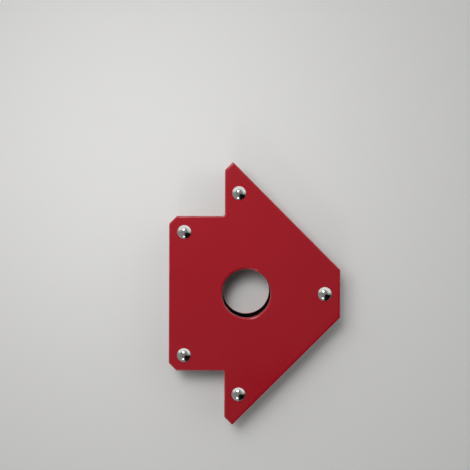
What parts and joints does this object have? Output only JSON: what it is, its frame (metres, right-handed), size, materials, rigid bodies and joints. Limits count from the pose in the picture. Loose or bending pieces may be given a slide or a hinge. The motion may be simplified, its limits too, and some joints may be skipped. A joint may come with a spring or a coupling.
{
  "type": "welding magnet holder",
  "caption": "Flat arrow-shaped magnetic holder that clamps steel pieces at 45, 90 and 135 degrees for welding: red plates around a black core, domed rivets, round centre hole.",
  "frame": {"origin": "centre of the footprint, on the surface that the holder lies on (the lowest points of the rivets' rolled ends)", "axes": "+X from the square tail to the nose, +Y from barb tip to barb tip, +Z out of the front plate, along the centre hole"},
  "size_m": [0.0846, 0.1296, 0.018],
  "materials": {
    "red_powder_coat": "satin",
    "black_core": "matte",
    "ferrite": "matte",
    "nickel_plate": "polished",
    "zinc_steel": "satin"
  },
  "bodies": {
    "root": {"front_plate": "red_powder_coat", "back_plate": "red_powder_coat", "core_frame": "black_core", "magnet_upper_diagonal": "ferrite", "magnet_lower_diagonal": "ferrite", "magnet_tail": "ferrite", "magnet_upper_shoulder": "ferrite", "magnet_lower_shoulder": "ferrite", "rivet_upper_barb": "nickel_plate", "sleeve_upper_barb": "zinc_steel", "rivet_lower_barb": "nickel_plate", "sleeve_lower_barb": "zinc_steel", "rivet_upper_tail": "nickel_plate", "sleeve_upper_tail": "zinc_steel", "rivet_lower_tail": "nickel_plate", "sleeve_lower_tail": "zinc_steel", "rivet_nose": "nickel_plate", "sleeve_nose": "zinc_steel"}
  },
  "joints": []
}
